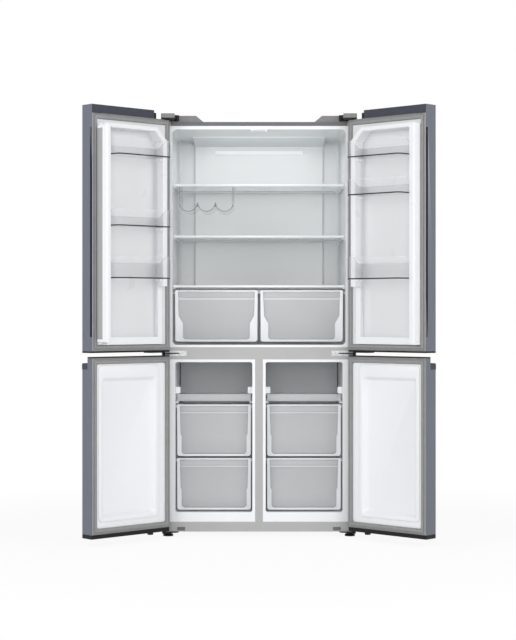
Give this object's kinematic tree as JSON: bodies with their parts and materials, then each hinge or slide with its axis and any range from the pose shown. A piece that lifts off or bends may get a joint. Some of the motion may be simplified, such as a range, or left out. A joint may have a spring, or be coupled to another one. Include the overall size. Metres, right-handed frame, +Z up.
{
  "type": "french door refrigerator",
  "caption": "Free-standing refrigerator with paired refrigerator doors above paired freezer doors, shelves, crispers, sliding trays, drawers and door bins behind them.",
  "frame": {"origin": "on the floor at the middle of the footprint with the doors open, as stored", "axes": "+Z up, front faces -Y, +X to the right seen from the front"},
  "size_m": [1.4598, 0.9642, 1.815],
  "materials": {
    "door_steel": "satin",
    "door_core": "satin",
    "door_liner": "gloss",
    "gasket": "matte",
    "clear_plastic": "gloss",
    "cabinet_steel": "satin",
    "galvanised": "satin",
    "frame_grey": "satin",
    "dark_plastic": "matte",
    "foam": "matte",
    "liner_white": "gloss",
    "shelf_glass": "gloss",
    "black_paint": "satin",
    "aluminium": "satin",
    "cover_grey": "satin"
  },
  "bodies": {
    "cabinet": {"cabinet_shell": "cabinet_steel", "rear_panel": "galvanised", "front_frame": "frame_grey", "frame_plugs": "dark_plastic", "cabinet_insulation": "foam", "fridge_liner": "liner_white", "freezer_liners": "liner_white", "bottom_deck": "galvanised", "compressor_base": "galvanised", "machine_cover": "dark_plastic", "duct_covers": "liner_white", "lamp_lens": "clear_plastic", "mullion_guide": "liner_white", "shelf_glass": "shelf_glass", "shelf_trims": "liner_white", "bottle_rack": "clear_plastic", "drawer_runners": "liner_white", "compressor": "black_paint", "drain_pan": "dark_plastic", "condenser": "black_paint", "fan_motors": "black_paint", "evaporator": "aluminium", "top_hinges": "galvanised", "hinge_covers": "cover_grey", "middle_hinges": "galvanised", "bottom_hinges": "dark_plastic", "hinge_screws": "galvanised"},
    "upper_left_door": {"upper_left_door_skin": "door_steel", "upper_left_door_core": "door_core", "upper_left_door_liner": "door_liner", "upper_left_door_gasket": "gasket", "upper_left_door_bins": "clear_plastic"},
    "lower_left_door": {"lower_left_door_skin": "door_steel", "lower_left_door_core": "door_core", "lower_left_door_liner": "door_liner", "lower_left_door_gasket": "gasket"},
    "upper_right_door": {"upper_right_door_skin": "door_steel", "upper_right_door_core": "door_core", "upper_right_door_liner": "door_liner", "upper_right_door_gasket": "gasket", "upper_right_door_bins": "clear_plastic"},
    "lower_right_door": {"lower_right_door_skin": "door_steel", "lower_right_door_core": "door_core", "lower_right_door_liner": "door_liner", "lower_right_door_gasket": "gasket"},
    "flip_mullion": {"flip_mullion": "liner_white"},
    "crisper_left": {"crisper_left": "clear_plastic"},
    "freezer_tray_left": {"freezer_tray_left": "clear_plastic"},
    "freezer_drawer_upper_left": {"freezer_drawer_upper_left": "clear_plastic"},
    "freezer_drawer_lower_left": {"freezer_drawer_lower_left": "clear_plastic"},
    "crisper_right": {"crisper_right": "clear_plastic"},
    "freezer_tray_right": {"freezer_tray_right": "clear_plastic"},
    "freezer_drawer_upper_right": {"freezer_drawer_upper_right": "clear_plastic"},
    "freezer_drawer_lower_right": {"freezer_drawer_lower_right": "clear_plastic"},
    "rear_roller_left": {"rear_roller_left": "dark_plastic"},
    "rear_roller_right": {"rear_roller_right": "dark_plastic"},
    "leveling_foot_left": {"leveling_foot_left": "dark_plastic"},
    "leveling_foot_right": {"leveling_foot_right": "dark_plastic"},
    "condenser_fan": {"condenser_fan": "dark_plastic"},
    "evaporator_fan": {"evaporator_fan": "dark_plastic"}
  },
  "joints": [
    {"name": "upper_left_door_hinge", "type": "hinge", "parent": "cabinet", "child": "upper_left_door", "pos_m": [-0.4055, -0.149, 0.785], "axis": [0, 0, -1], "range_deg": [-137, 0]},
    {"name": "lower_left_door_hinge", "type": "hinge", "parent": "cabinet", "child": "lower_left_door", "pos_m": [-0.4055, -0.149, 0.785], "axis": [0, 0, -1], "range_deg": [-137, 0]},
    {"name": "upper_right_door_hinge", "type": "hinge", "parent": "cabinet", "child": "upper_right_door", "pos_m": [0.4055, -0.149, 0.785], "axis": [0, 0, 1], "range_deg": [-137, 0]},
    {"name": "lower_right_door_hinge", "type": "hinge", "parent": "cabinet", "child": "lower_right_door", "pos_m": [0.4055, -0.149, 0.785], "axis": [0, 0, 1], "range_deg": [-137, 0]},
    {"name": "flip_mullion_hinge", "type": "hinge", "parent": "upper_left_door", "child": "flip_mullion", "pos_m": [-0.65002, -0.43444, 1.2825], "axis": [0, 0, 1], "range_deg": [-90, 0]},
    {"name": "crisper_left_slide", "type": "slide", "parent": "cabinet", "child": "crisper_left", "axis": [0, -1, 0], "range_m": [0, 0.3]},
    {"name": "freezer_tray_left_slide", "type": "slide", "parent": "cabinet", "child": "freezer_tray_left", "axis": [0, -1, 0], "range_m": [0, 0.28]},
    {"name": "freezer_drawer_upper_left_slide", "type": "slide", "parent": "cabinet", "child": "freezer_drawer_upper_left", "axis": [0, -1, 0], "range_m": [0, 0.28]},
    {"name": "freezer_drawer_lower_left_slide", "type": "slide", "parent": "cabinet", "child": "freezer_drawer_lower_left", "axis": [0, -1, 0], "range_m": [0, 0.22]},
    {"name": "crisper_right_slide", "type": "slide", "parent": "cabinet", "child": "crisper_right", "axis": [0, -1, 0], "range_m": [0, 0.3]},
    {"name": "freezer_tray_right_slide", "type": "slide", "parent": "cabinet", "child": "freezer_tray_right", "axis": [0, -1, 0], "range_m": [0, 0.28]},
    {"name": "freezer_drawer_upper_right_slide", "type": "slide", "parent": "cabinet", "child": "freezer_drawer_upper_right", "axis": [0, -1, 0], "range_m": [0, 0.28]},
    {"name": "freezer_drawer_lower_right_slide", "type": "slide", "parent": "cabinet", "child": "freezer_drawer_lower_right", "axis": [0, -1, 0], "range_m": [0, 0.22]},
    {"name": "rear_roller_left_spin", "type": "hinge", "parent": "cabinet", "child": "rear_roller_left", "pos_m": [-0.3545, 0.405, 0.019], "axis": [1, 0, 0], "continuous": true},
    {"name": "rear_roller_right_spin", "type": "hinge", "parent": "cabinet", "child": "rear_roller_right", "pos_m": [0.3545, 0.405, 0.019], "axis": [1, 0, 0], "continuous": true},
    {"name": "leveling_foot_left_screw", "type": "slide", "parent": "cabinet", "child": "leveling_foot_left", "axis": [0, 0, -1], "range_m": [0, 0.012]},
    {"name": "leveling_foot_right_screw", "type": "slide", "parent": "cabinet", "child": "leveling_foot_right", "axis": [0, 0, -1], "range_m": [0, 0.012]},
    {"name": "condenser_fan_spin", "type": "hinge", "parent": "cabinet", "child": "condenser_fan", "pos_m": [-0.11662, 0.383, 0.1355], "axis": [1, 0, 0], "continuous": true},
    {"name": "evaporator_fan_spin", "type": "hinge", "parent": "cabinet", "child": "evaporator_fan", "pos_m": [-0.1935, 0.37, 0.627], "axis": [0, 1, 0], "continuous": true}
  ],
  "couplings": [
    {"joint": "flip_mullion_hinge", "follows": "upper_left_door_hinge", "ratio": 0.65693}
  ]
}
